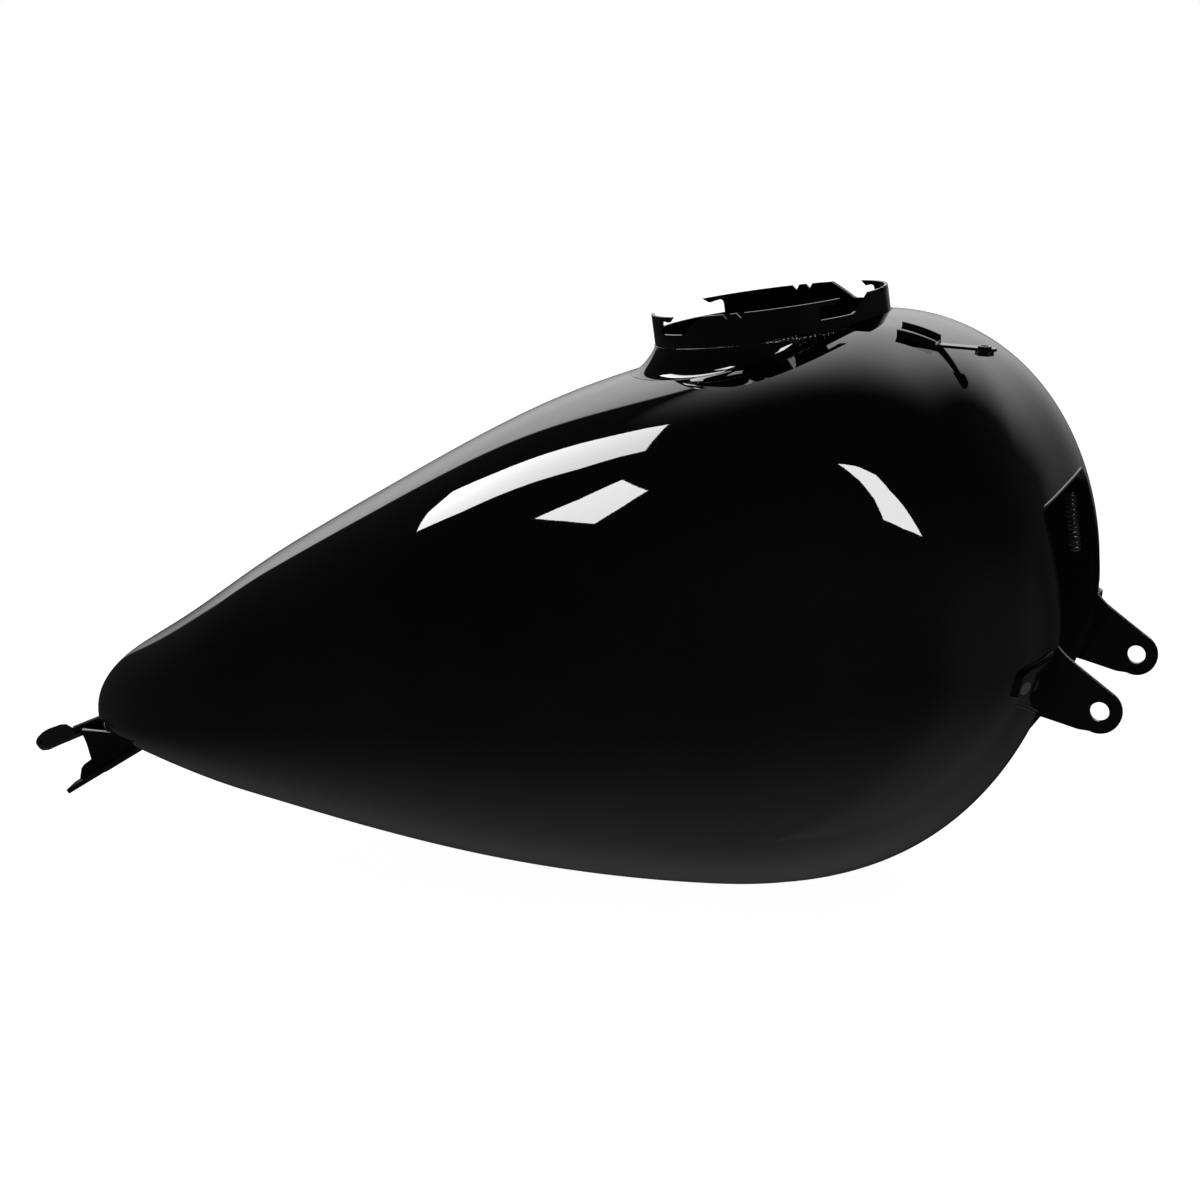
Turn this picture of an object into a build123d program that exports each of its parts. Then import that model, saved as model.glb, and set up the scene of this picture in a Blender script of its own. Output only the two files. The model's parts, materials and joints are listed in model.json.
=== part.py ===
"""Saddle-style motorcycle fuel tank: two pressed steel sides welded round a frame tunnel,
with an open lock-ring filler neck, two front mounting ears and a rear hanger bracket.

Millimetres. +X points forward, +Y to the rider's left, +Z up. The origin is the centre of the
front mounting bolt, midway between the two ears.
"""

import os
from math import cos, pi, radians, sin

from build123d import *

os.makedirs("parts", exist_ok=True)

# --- Driving dimensions -------------------------------------------------------------------

SKIN = 1.6  # sheet thickness of the pressed sides and the tunnel
FIT_GAP = 0.05  # clearance of pieces that are only tacked to the skin

TAIL_X = -641.0  # rearmost point of the body
NOSE_X = -22.6  # foremost point of the body

# Lines plan of the body: station, crest height, half width, height of greatest width, keel
LINES = [
    (-641, 3, 72, -60, -96),
    (-600, 5, 98, -50, -84),
    (-520, 45, 132, -30, -89),
    (-430, 100, 156, -10, -107),
    (-340, 149, 172, 5, -120),
    (-240, 185, 177, 20, -125),
    (-140, 214.2, 177, 35, -123),
    (-20, 229.6, 177, 38.7, -131),
]
CREST_ROUND = (169.0, 1.91)  # length and fullness of the nose rounding, along the crest
WIDTH_ROUND = (247.0, 4.85)  # ... in plan
KEEL_ROUND = (197.5, 1.55)  # ... along the keel
TAIL_ROUND = (145.0, 1.8)  # length and fullness of the tail rounding
ROUND_ONSET = 2.4  # how gently every rounding begins
CROWN_FULLNESS = 2.15  # superellipse exponent of the section above the widest height
BELLY_FULLNESS = 2.6  # ... and below it
NOSE_SQUARING = (185.0, 2.01)  # length over which the crown grows fuller, and by how much
CAP_ANGLE = 0.16  # how far short of each pole the lofted body stops, in radians
STATIONS = 23
POINTS_ROUND = 36

# Frame tunnel: roof line seen from the side, and half width seen from above
TUNNEL_ROOF = [(20, 112), (-140, 109), (-340, 70), (-500, 0), (-596, -90)]
TUNNEL_HALF_FRONT = 72.5
TUNNEL_HALF_REAR = 44.0
TUNNEL_CORNER = 9.0

# Filler neck and its bayonet lock flange
NECK_X = -209.5
NECK_TOP_Z = 213.5  # top face of the lock tabs, on the neck axis
NECK_TILT = 8.0  # degrees, front edge high
FLANGE_R = 69.0
FLANGE_SHEET = 2.0
TAB_HEIGHT = 18.5
PORT_R = 56.0  # clear opening of the neck
TAB_COUNT = 4
TAB_START = -19.5  # angle where the first tab's level top begins, at the head of its ramp
FINGER_ROOT = 57.5  # the rest are degrees on from there
FINGER_HOOK = [(69.5, -0.1), (65.9, -3.1), (63, -2.6), (60, -2.3), (58.6, -2.7), (57.8, -3.6)]
FINGER_CORNER = -5.2  # height where the hook's rounded corner meets the upright edge
VALLEY = [(57.5, -10.2), (75.6, -10.2), (78.0, -9.0)]
SHORT_TAB = 2  # this tab, at the rear, has only the last part of its level top
SHORT_TAB_START = 32.0
NOTCH_ANGLES = (13.0, 20.0)
NOTCH_WIDTH = 4.4
NOTCH_DEPTH = 3.0

# Seat pressed in the skin for the flange, and the weld that closes it
NECK_HOLE_R = PORT_R + 4
NECK_BEAD = 2.4
COLLAR_FLARE = [(0, 0), (0, -3), (1.5, -8), (5.5, -14), (13, -21), (19, -25)]

# Front ears: flat plates with a foot bent outwards on to the skin
EAR_Y = 72.0
EAR_SHEET = 3.2
EAR_HOLE_R = 5.5
EAR_END_R = 12.7
EAR_TOP_EDGE = [(-29, 41), (-25.5, 37), (-22.6, 33.6), (-19.3, 30.2), (-13.7, 25.9)]
EAR_LOW_EDGE = [(-11, -11), (-31, -5.5)]
FOOT_SHEET = 2.4
FOOT_OUTLINE = [
    (70.6, -4.5), (70.6, 34.4), (80, 34.6), (114, 31), (119.5, 28), (120.5, 16.9), (117.5, 12.3)
]
PLUG_Y = 116.3
PLUG_Z = 21.0
PLUG_R = 3.6
PLUG_PROUD = 2.6

# Bead inside the tunnel mouth: its (x, z) ends
MOUTH_WELD = [(-42.5, 97), (-38.0, 60)]
MOUTH_WELD_R = 3.6

# Rear hanger: a top-hat channel under the tail, with a tongue for the seat-side fixing
HANGER_HALF = 15.0
HANGER_SHEET = 2.5
HANGER_TOP_Z = -74.0
HANGER_REAR_X = -649.7
HANGER_FRONT_X = -600.0
WEB_REAR_EDGE = [(-649.7, -76.5), (-648.2, -79.7), (-646.6, -83.2), (-643.7, -93.1)]
WEB_REAR_EDGE += [(-648.5, -96.7), (-650.8, -99.7), (-651.9, -106.4)]
BEND_R = 2.4
FLANGE_WIDTH = 15.5
FLANGE_THICK = 3.0
FLANGE_SLOPE = 32.6
FLANGE_TILT = 7.0
FLANGE_OVERHANG = 5.3
STRAP_END = (-659.3, -8.0, -75.9)  # lower rear corner of the strap that carries the tongue
STRAP_SLOPE = 24.3
STRAP_WIDTH = 20.0
STRAP_SKEW = 10.6
TONGUE_DROOP = 25.5
TONGUE_ROLL = 20.0
TONGUE_OUTLINE = [(-4, 0.5), (1, 2.4), (17.7, 3), (28, 2.7), (33.5, 5.6), (37.8, 10.4)]
TONGUE_OUTLINE += [(41.2, 15.5), (43.3, 21.1), (43.5, 25.4), (41.9, 29.4), (39.3, 31.2)]
TONGUE_OUTLINE += [(35.9, 31.6), (26.7, 29.9), (21.4, 26.7), (12.4, 16), (4, 14), (-4, 12)]
TONGUE_HOLE = (37.0, 14.8)
TONGUE_HOLE_R = 1.6

# Console bracket in front of the neck
CONSOLE_Y = -44.0
CONSOLE_X = -112.0
CONSOLE_LENGTH = 22.0
CONSOLE_WIDTH = 16.0
CONSOLE_WALL = 1.6
CONSOLE_RISE = 3.6
ARM_WIDTH = 8.5
ARM_SHEET = 1.6
ARM_STUD = (-74.7, 194.8)
ARM_LENGTH = 32.0
ARM_BEYOND = 2.6  # how far past the stud the round end is centred
ARM_SLOPE = -2.5
STUD_HOLE_R = 2.5
NUT_R = 5.4
NUT_HEIGHT = 2.8
WASHER_R = 3.9
WASHER_HEIGHT = 0.9

# Inside
BAFFLE_X = -318.0
BAFFLE_SHEET = 1.2

# --- Body form ----------------------------------------------------------------------------


def natural_spline(knots, values):
    """Second derivatives of the natural cubic spline through the knots."""
    n = len(knots)
    lower = [0.0] * n
    right = [0.0] * n
    second = [0.0] * n
    for i in range(1, n - 1):
        left_gap = knots[i] - knots[i - 1]
        right_gap = knots[i + 1] - knots[i]
        pivot = 2 * (left_gap + right_gap) - left_gap * lower[i - 1]
        lower[i] = right_gap / pivot
        bend = (values[i + 1] - values[i]) / right_gap - (values[i] - values[i - 1]) / left_gap
        right[i] = (6 * bend - left_gap * right[i - 1]) / pivot
    for i in range(n - 2, 0, -1):
        second[i] = right[i] - lower[i] * second[i + 1]
    return second


def spline_at(knots, values, second, x):
    """Value of the cubic spline at x."""
    i = 0
    while i < len(knots) - 2 and x > knots[i + 1]:
        i += 1
    gap = knots[i + 1] - knots[i]
    a = (knots[i + 1] - x) / gap
    b = (x - knots[i]) / gap
    curved = (a**3 - a) * second[i] + (b**3 - b) * second[i + 1]
    return a * values[i] + b * values[i + 1] + curved * gap**2 / 6


KNOTS = [row[0] for row in LINES]
COLUMNS = [[row[k] for row in LINES] for k in range(1, 5)]
SECONDS = [natural_spline(KNOTS, column) for column in COLUMNS]


def rounding(x, nose):
    """1 along the body, falling to 0 at the nose and at the tail."""
    length, fullness = nose
    u = max(0.0, (x - (NOSE_X - length)) / length)
    tail_length, tail_fullness = TAIL_ROUND
    v = max(0.0, (TAIL_X + tail_length - x) / tail_length)
    front = max(0.0, 1 - u**ROUND_ONSET) ** (1 / fullness)
    rear = max(0.0, 1 - v**ROUND_ONSET) ** (1 / tail_fullness)
    return front * rear


def body_lines(x):
    """Crest, half width, widest height and keel of the outer skin at station x."""
    crest, half, mid, keel = (
        spline_at(KNOTS, column, second, x) for column, second in zip(COLUMNS, SECONDS)
    )
    top = mid + (crest - mid) * rounding(x, CREST_ROUND)
    bottom = mid + (keel - mid) * rounding(x, KEEL_ROUND)
    return top, half * rounding(x, WIDTH_ROUND), mid, bottom


def signed_power(value, power):
    return (1 if value >= 0 else -1) * abs(value) ** power


def section_points(x, offset):
    """Closed section of the body at station x, grown outwards by offset."""
    top, half, mid, bottom = body_lines(x)
    length, gain = NOSE_SQUARING
    crown = CROWN_FULLNESS + gain * max(0.0, (x - (NOSE_X - length)) / length) ** 3
    points = []
    for k in range(POINTS_ROUND):
        angle = 2 * pi * k / POINTS_ROUND + radians(200)
        c, s = cos(angle), sin(angle)
        fullness = crown if c >= 0 else BELLY_FULLNESS
        reach = (top - mid if c >= 0 else mid - bottom) + offset
        y = (half + offset) * signed_power(s, 2 / fullness)
        points.append((y, mid + reach * signed_power(c, 2 / fullness)))
    return points


def body_solid(offset):
    """The body form grown by offset (negative is inside the skin)."""
    middle = (TAIL_X + NOSE_X) / 2
    reach = (NOSE_X - TAIL_X) / 2
    grown = (reach + offset) / reach
    wires = []
    for k in range(STATIONS):
        angle = CAP_ANGLE + (pi - 2 * CAP_ANGLE) * k / (STATIONS - 1)
        x = middle - reach * cos(angle)
        plane_x = middle + (x - middle) * grown
        points = [Vector(plane_x, y, z) for y, z in section_points(x, offset)]
        section = Edge.make_spline(points, periodic=True, parameters=range(POINTS_ROUND + 1))
        wires.append(Wire([section]))
    return Solid.make_loft(wires)


def tunnel_solid(offset):
    """The frame tunnel's clear space, grown by offset."""
    roof = [(x, z + offset) for x, z in TUNNEL_ROOF]
    last_x, last_z = roof[-1]
    roof[-1] = (last_x - offset, last_z)
    side = Polyline(*roof, (last_x - offset - 30, last_z - 60), (20, last_z - 60), close=True)
    slab = extrude(Plane.XZ * make_face(side), 100, both=True)
    rear_x = TUNNEL_ROOF[-1][0] - 60
    front, rear = TUNNEL_HALF_FRONT + offset, TUNNEL_HALF_REAR + offset
    outline = Polyline((20, front), (20, -front), (rear_x, -rear), (rear_x, rear), close=True)
    plan = extrude(make_face(outline), 400, both=True)
    tunnel = slab & plan
    long_edges = [
        edge
        for edge in tunnel.edges()
        if abs(edge.tangent_at(0.5).X) > 0.3
        and abs(edge.center().Y) > 30
        and edge.center().Z > -80
    ]
    return fillet(long_edges, TUNNEL_CORNER + offset)


def largest(shape):
    return max(shape.solids(), key=lambda solid: solid.volume)


def mirrored(shape):
    return mirror(shape, about=Plane.XZ)


def save(name, shape):
    export_step(shape, f"parts/{name}.step")


# --- Filler neck --------------------------------------------------------------------------

NECK_PLANE = Plane(
    origin=(NECK_X, 0, NECK_TOP_Z),
    x_dir=(cos(radians(NECK_TILT)), 0, sin(radians(NECK_TILT))),
    z_dir=(-sin(radians(NECK_TILT)), 0, cos(radians(NECK_TILT))),
)


def revolved(profile):
    """A ring turned about the neck axis from (radius, height) points."""
    face = make_face(Polyline(*[(r, 0, h) for r, h in profile], close=True))
    return NECK_PLANE * revolve(face, Axis.Z)


def wall_cutter(outline, middle):
    """Cuts the tab wall to an (angle, height) outline unrolled about a middle angle."""
    radius = FLANGE_R - FLANGE_SHEET / 2
    plane = Plane(
        origin=(PORT_R * cos(radians(middle)), PORT_R * sin(radians(middle)), 0),
        x_dir=(-sin(radians(middle)), cos(radians(middle)), 0),
        z_dir=(cos(radians(middle)), sin(radians(middle)), 0),
    )
    points = [(radius * sin(radians(angle)), height) for angle, height in outline]
    face = make_face(Polyline(*points, close=True))
    return NECK_PLANE * (plane * extrude(face, FLANGE_R - PORT_R + 4))


def lock_flange():
    """Welded flange whose upright wall is cut into four hooked tabs for a lock ring."""
    t = FLANGE_SHEET
    low = -TAB_HEIGHT
    ring = revolved(
        [
            (PORT_R, low),
            (FLANGE_R, low),
            (FLANGE_R, 0),
            (FLANGE_R - t, 0),
            (FLANGE_R - t, low + t),
            (PORT_R, low + t),
        ]
    )
    pitch = 360 / TAB_COUNT
    centre = (FINGER_ROOT + pitch) / 2
    over = 2.0  # the cutters pass this far above the tabs
    gap = [*VALLEY, (pitch, 0), (pitch, over), (FINGER_HOOK[0][0], over)]
    gap += [*FINGER_HOOK, (FINGER_ROOT, FINGER_CORNER)]
    gap = [(angle - centre, height) for angle, height in gap]
    floor = VALLEY[0][1]
    half = (pitch + SHORT_TAB_START - VALLEY[1][0]) / 2
    missing = [(-half, floor), (half - 2, floor), (half, floor + 1.5), (half, over), (-half, over)]
    spread = NOTCH_WIDTH / 2 * (NOTCH_DEPTH + over) / NOTCH_DEPTH
    spread = 180 * spread / (pi * FLANGE_R)
    notch = [(-spread, over), (spread, over), (0, -NOTCH_DEPTH)]
    for k in range(TAB_COUNT):
        start = TAB_START + k * pitch
        ring -= wall_cutter(gap, start + centre)
        if k == SHORT_TAB:
            ring -= wall_cutter(missing, start + SHORT_TAB_START - half)
            continue
        for angle in NOTCH_ANGLES:
            ring -= wall_cutter(notch, start + angle)
    return ring


def neck_collar(outer):
    """Flared sheet standing on the skin and carrying the flange."""
    face = [(FLANGE_R + dr, dh - TAB_HEIGHT) for dr, dh in COLLAR_FLARE]
    back = [(r - FLANGE_SHEET, h - 0.6 * k / len(face) - 0.4) for k, (r, h) in enumerate(face)]
    back[0] = (face[0][0] - FLANGE_SHEET, face[0][1])
    return largest(revolved(face + back[::-1]) - outer)


def neck_weld_bead():
    """Hand-laid bead between flange, collar and skin, with a ripple to every few degrees."""
    low = -TAB_HEIGHT
    w = NECK_BEAD
    profile = [(0, w), (0.7 * w, 0.7 * w), (w, 0), (0.7 * w, -0.8 * w), (0, -1.2 * w)]
    return revolved([(FLANGE_R + dr, low + dh) for dr, dh in profile])


# --- Front ears ---------------------------------------------------------------------------


def plate_xz(points, y_low, y_high):
    """A plate standing fore and aft, from its (x, z) outline, between two y values."""
    face = make_face(Polyline(*[(x, y_low, z) for x, z in points], close=True))
    return extrude(face, y_high - y_low, dir=(0, 1, 0))


def prism_x(points, x_low, x_high):
    """A prism along X from its (y, z) outline."""
    face = make_face(Polyline(*[(x_low, y, z) for y, z in points], close=True))
    return extrude(face, x_high - x_low, dir=(1, 0, 0))


def disc_y(radius, y_low, y_high, x=0.0, z=0.0):
    middle = (y_low + y_high) / 2
    return Pos(x, middle, z) * Rot(90, 0, 0) * Cylinder(radius, y_high - y_low)


def ear_bracket(outer, foot_skin):
    """The left ear: plate with the bolt eye, and its foot lying on the skin."""
    y_low, y_high = EAR_Y - EAR_SHEET / 2, EAR_Y + EAR_SHEET / 2
    r = EAR_END_R
    top_touch = (r * sin(radians(37)), r * cos(radians(37)))
    low_touch = (r * sin(radians(16)), -r * cos(radians(16)))
    outline = [(-50, 48), *EAR_TOP_EDGE, top_touch, low_touch, *EAR_LOW_EDGE, (-50, -1)]
    plate = plate_xz(outline, y_low, y_high) + disc_y(r, y_low, y_high)
    rim = [e for e in plate.edges() if abs(e.tangent_at(0.5).Y) < 0.1 and e.center().X > -20]
    plate = fillet(rim, 0.5)
    hole = disc_y(EAR_HOLE_R, y_low - 5, y_high + 5)
    foot = foot_skin & prism_x(FOOT_OUTLINE, -70, 0)
    plug = Pos(-40, PLUG_Y, PLUG_Z) * Rot(0, 90, 0) * Cylinder(PLUG_R, 80)
    ear = (plate - hole - outer) + (foot - plug)
    return largest(ear), plug


def ear_weld(outer_skin_bead):
    """Beads along the top and bottom edges of the foot."""
    strip_top = prism_x([(84, 34.4), (113, 31.3), (113, 32.7), (84, 35.8)], -70, 0)
    strip_low = prism_x([(75, -3.2), (113, 10.4), (113, 9.0), (75, -4.6)], -70, 0)
    return outer_skin_bead & (strip_top + strip_low)


def notch_weld():
    """Half-round bead on the inner wall of the tunnel mouth, left side."""
    start, end = (Vector(x, TUNNEL_HALF_FRONT, z) for x, z in MOUTH_WELD)
    plane = Plane(origin=start, z_dir=(end - start).normalized())
    return plane * extrude(Circle(MOUTH_WELD_R), (end - start).length)


# --- Rear hanger --------------------------------------------------------------------------


def hanger_channel(outer):
    """Top-hat channel with two flanges, and a strap on top that carries the tongue."""
    t = HANGER_SHEET
    slope = radians(FLANGE_SLOPE)
    low_x, low_z = WEB_REAR_EDGE[-1]
    run = HANGER_FRONT_X - low_x
    far = (HANGER_FRONT_X, low_z + run * sin(slope) / cos(slope))
    sunk = [(far[0], far[1] - 1), (low_x, low_z - 1)]
    web_outline = [(HANGER_REAR_X, HANGER_TOP_Z), *WEB_REAR_EDGE, *sunk[::-1]]
    web_outline += [(far[0], HANGER_TOP_Z)]
    web = plate_xz(web_outline, HANGER_HALF - t, HANGER_HALF)
    depth = HANGER_FRONT_X - HANGER_REAR_X
    top = Pos(HANGER_REAR_X + depth / 2, 0, HANGER_TOP_Z - t / 2) * Box(depth, 2 * HANGER_HALF, t)
    rest = Plane(
        origin=(low_x, HANGER_HALF - t, low_z),
        x_dir=(cos(slope), 0, sin(slope)),
        z_dir=(-sin(slope), 0, cos(slope)),
    )
    length = run / cos(slope) + FLANGE_OVERHANG
    flange = Pos(length / 2 - FLANGE_OVERHANG, FLANGE_WIDTH / 2, -FLANGE_THICK / 2) * Box(
        length, FLANGE_WIDTH, FLANGE_THICK
    )
    flange = rest * (Rot(-FLANGE_TILT, 0, 0) * flange)
    side = web + flange
    body = side + mirrored(side) + top
    bends = [
        edge
        for edge in body.edges()
        if abs(abs(edge.center().Y) - HANGER_HALF) < 0.01
        and abs(edge.center().Z - HANGER_TOP_Z) < 0.01
        and abs(edge.tangent_at(0.5).X) > 0.9
    ]
    return largest(fillet(bends, BEND_R) + strap() - outer)


def strap():
    """Flat strap from under the tail down to the tongue."""
    slope = radians(STRAP_SLOPE)
    plane = Plane(
        origin=STRAP_END,
        x_dir=(cos(slope), 0, sin(slope)),
        z_dir=(-sin(slope), 0, cos(slope)),
    )
    length = 34.0
    outline = [(0, 0), (length, 0), (length, STRAP_WIDTH), (-STRAP_SKEW, STRAP_WIDTH)]
    return plane * extrude(make_face(Polyline(*outline, close=True)), -HANGER_SHEET)


def tongue_plane():
    """Upper face of the tongue: x down its length, y across it."""
    droop, roll = radians(TONGUE_DROOP), radians(TONGUE_ROLL)
    along = Vector(-cos(droop), 0, -sin(droop))
    across = Vector(0, cos(roll), sin(roll))
    normal = across.cross(along).normalized()
    if normal.Z < 0:
        normal = -normal
    origin = (-650, -HANGER_HALF, -77)
    return Plane(origin=origin, x_dir=along, z_dir=normal)


def tongue(blockers):
    """Spoon-shaped tongue reaching back from the strap."""
    side = -1 if tongue_plane().y_dir.Y < 0 else 1
    face = make_face(Polyline(*[(x, side * y) for x, y in TONGUE_OUTLINE], close=True))
    hole = Pos(TONGUE_HOLE[0], side * TONGUE_HOLE[1]) * Circle(TONGUE_HOLE_R)
    plate = tongue_plane() * extrude(face - hole, -HANGER_SHEET)
    return largest(plate - blockers)


# --- Console bracket ----------------------------------------------------------------------


def console_parts(outer, pad_skin, wall_skin):
    """Small channel welded to the skin, with an arm, a weld nut and a washer."""
    half_w, half_l = CONSOLE_WIDTH / 2, CONSOLE_LENGTH / 2
    base = pad_skin & (Pos(CONSOLE_X, CONSOLE_Y, 200) * Box(2 * half_l, 2 * half_w, 80))
    for side in (-1, 1):
        y = CONSOLE_Y + side * (half_w - CONSOLE_WALL / 2)
        base += wall_skin & (Pos(CONSOLE_X, y, 200) * Box(2 * half_l, CONSOLE_WALL, 80))
    base = largest(base)
    plane = Plane(
        origin=(ARM_STUD[0], CONSOLE_Y, ARM_STUD[1]),
        x_dir=(cos(radians(ARM_SLOPE)), 0, sin(radians(ARM_SLOPE))),
        z_dir=(-sin(radians(ARM_SLOPE)), 0, cos(radians(ARM_SLOPE))),
    )
    reach = ARM_LENGTH + ARM_BEYOND
    blank = Pos(ARM_BEYOND - reach / 2, 0) * Rectangle(reach, ARM_WIDTH)
    blank += Pos(ARM_BEYOND, 0) * Circle(ARM_WIDTH / 2)
    arm = plane * extrude(blank - Circle(STUD_HOLE_R), ARM_SHEET)
    arm = largest(arm - outer - base)
    nut = extrude(RegularPolygon(NUT_R, 6) - Circle(STUD_HOLE_R), -NUT_HEIGHT)
    washer = extrude(Circle(WASHER_R) - Circle(STUD_HOLE_R), WASHER_HEIGHT)
    washer = Pos(0, 0, ARM_SHEET) * washer
    return base, arm, plane * nut, plane * washer


# --- Inside -------------------------------------------------------------------------------


def surge_baffle(inner, tunnel_outer, x):
    """Slosh plate across one lobe, with passing holes and cut corners."""
    slab = Pos(x, 120, 0) * Box(BAFFLE_SHEET, 240, 190)
    plate = (slab & inner) - tunnel_outer
    plate -= Pos(x, 0, 0) * Box(10, 2 * TUNNEL_HALF_FRONT + 24, 400)
    for y, z, r in ((112, 30, 20), (112, -38, 16), (110, -96, 12)):
        plate -= Pos(x, y, z) * Rot(0, 90, 0) * Cylinder(r, 10)
    return largest(plate)


def pump_bracket(tunnel_outer):
    """Inverted saddle on the tunnel roof that keeps a pump module from swinging."""
    x, wide, long = NECK_X, 44.0, 30.0
    block = Pos(x, 0, 100) * Box(long, wide, 40)
    hollow = Pos(x, 0, 97) * Box(long + 10, wide - 4, 40)
    feet = Pos(x, 0, 90.5) * Box(long, wide + 24, 12)
    feet -= Pos(x, 0, 96.5) * Box(long + 10, wide + 40, 5)
    saddle = block - hollow
    for side in (-1, 1):
        saddle += Pos(x, side * (wide / 2 + 5), 90) * Box(long, 14, 8)
    return largest(saddle - tunnel_outer)


# --- Build --------------------------------------------------------------------------------


def main():
    outer = body_solid(0)
    inner = body_solid(-SKIN)
    tunnel = tunnel_solid(0)
    tunnel_outer = tunnel_solid(SKIN)
    neck_hole = NECK_PLANE * Pos(0, 0, -60) * Cylinder(NECK_HOLE_R, 100)
    seat_top = NECK_BEAD * 1.2 + TAB_HEIGHT
    seat = NECK_PLANE * Pos(0, 0, 30 - seat_top) * Cylinder(FLANGE_R + NECK_BEAD, 60)

    half_space = Pos(-330, -250, 0) * Box(800, 500, 800)
    skin = (outer - inner) & half_space
    right_shell = largest(skin - tunnel_outer - neck_hole - seat)
    save("right_side_shell", right_shell)
    save("left_side_shell", mirrored(right_shell))
    save("tunnel_panel", largest((tunnel_outer - tunnel) & outer))

    save("lock_flange", lock_flange())
    save("neck_collar", neck_collar(outer))
    save("neck_weld_bead", neck_weld_bead())

    front_block = Pos(-80, 110, 15) * Box(160, 100, 90)
    near_skin = outer & front_block
    foot_skin = (body_solid(FOOT_SHEET) & front_block) - near_skin
    bead_skin = (body_solid(PLUG_PROUD) & front_block) - (body_solid(FIT_GAP) & front_block)
    left_ear, plug = ear_bracket(outer, foot_skin)
    save("front_ear_left", left_ear)
    save("front_ear_right", mirrored(left_ear))
    plug_weld = largest(plug & bead_skin)
    save("ear_plug_weld_left", plug_weld)
    save("ear_plug_weld_right", mirrored(plug_weld))
    beads = ear_weld(bead_skin)
    save("ear_seam_weld_left", beads)
    save("ear_seam_weld_right", mirrored(beads))
    notch = notch_weld() & tunnel
    save("notch_weld_left", largest(notch))
    save("notch_weld_right", mirrored(largest(notch)))

    channel = hanger_channel(outer)
    save("rear_hanger_channel", channel)
    save("rear_hanger_tongue", tongue(outer + channel))

    top_block = Pos(-110, CONSOLE_Y, 195) * Box(60, 40, 60)
    near_top = outer & top_block
    pad_skin = (body_solid(CONSOLE_WALL) & top_block) - near_top
    wall_skin = (body_solid(CONSOLE_RISE) & top_block) - near_top
    base, arm, nut, washer = console_parts(near_top, pad_skin, wall_skin)
    save("console_bracket_base", base)
    save("console_bracket_arm", arm)
    save("console_weld_nut", nut)
    save("console_washer", washer)

    lobe_space = body_solid(-SKIN - FIT_GAP)
    baffle = surge_baffle(lobe_space, tunnel_outer, BAFFLE_X)
    save("surge_baffle_left", baffle)
    save("surge_baffle_right", mirrored(baffle))
    save("pump_locating_bracket", pump_bracket(tunnel_outer))
    fuel = (inner - tunnel_outer).solids()
    print("space inside, litres", round(sum(s.volume for s in fuel) / 1e6, 1))


main()
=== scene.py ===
import json
import math

import bpy
import numpy as np
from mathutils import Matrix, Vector, noise


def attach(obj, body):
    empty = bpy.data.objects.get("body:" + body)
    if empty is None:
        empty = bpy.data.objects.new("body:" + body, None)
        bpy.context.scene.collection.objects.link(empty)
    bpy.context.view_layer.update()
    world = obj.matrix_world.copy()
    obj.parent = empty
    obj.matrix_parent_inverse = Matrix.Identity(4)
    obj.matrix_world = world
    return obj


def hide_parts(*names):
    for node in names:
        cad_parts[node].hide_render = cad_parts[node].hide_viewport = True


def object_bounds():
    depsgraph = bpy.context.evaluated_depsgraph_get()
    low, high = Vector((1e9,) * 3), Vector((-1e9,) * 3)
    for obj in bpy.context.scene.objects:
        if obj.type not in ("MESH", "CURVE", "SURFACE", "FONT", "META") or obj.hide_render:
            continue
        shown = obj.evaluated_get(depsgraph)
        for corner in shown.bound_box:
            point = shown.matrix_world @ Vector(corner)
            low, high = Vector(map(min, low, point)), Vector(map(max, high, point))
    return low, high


# Saddle-style motorcycle fuel tank in gloss black on a plain pale floor. The frame is in metres;
# the form below is worked out in millimetres, as the part's own dimensions are, and scaled once.

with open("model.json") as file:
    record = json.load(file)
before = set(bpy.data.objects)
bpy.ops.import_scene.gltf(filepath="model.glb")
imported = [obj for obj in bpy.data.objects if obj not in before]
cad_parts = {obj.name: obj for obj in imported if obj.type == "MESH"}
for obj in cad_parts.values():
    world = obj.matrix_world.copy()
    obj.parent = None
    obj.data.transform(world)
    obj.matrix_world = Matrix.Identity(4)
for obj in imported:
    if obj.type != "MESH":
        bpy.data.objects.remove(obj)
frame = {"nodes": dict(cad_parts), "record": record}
cad_low, cad_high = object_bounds()
nodes = frame["nodes"]
MM = 0.001

# --- Form of the body, in millimetres -----------------------------------------------------

TAIL_X = -641.0
NOSE_X = -22.6
SKIN = 1.6

# station, crest height, half width, height of greatest width, keel
LINES = np.array([
    (-641, 3, 72, -60, -96),
    (-600, 5, 98, -50, -84),
    (-520, 45, 132, -30, -89),
    (-430, 100, 156, -10, -107),
    (-340, 149, 172, 5, -120),
    (-240, 185, 177, 20, -125),
    (-140, 214.2, 177, 35, -123),
    (-20, 229.6, 177, 38.7, -131),
], float)
CREST_ROUND = (169.0, 1.91)
WIDTH_ROUND = (247.0, 4.85)
KEEL_ROUND = (197.5, 1.55)
TAIL_ROUND = (145.0, 1.8)
ROUND_ONSET = 2.4
CROWN_FULLNESS = 2.15
BELLY_FULLNESS = 2.6
NOSE_SQUARING = (185.0, 2.01)

TUNNEL_ROOF = np.array([(20, 112), (-140, 109), (-340, 70), (-500, 0), (-596, -90)], float)
TUNNEL_HALF_FRONT = 72.5
TUNNEL_HALF_REAR = 44.0
TUNNEL_CORNER = 9.0

NECK_X = -209.5
NECK_TOP_Z = 213.5
NECK_TILT = math.radians(8.0)
FLANGE_R = 69.0
TAB_HEIGHT = 18.5
NECK_BEAD = 2.4
NECK_HOLE_R = 60.0


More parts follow.
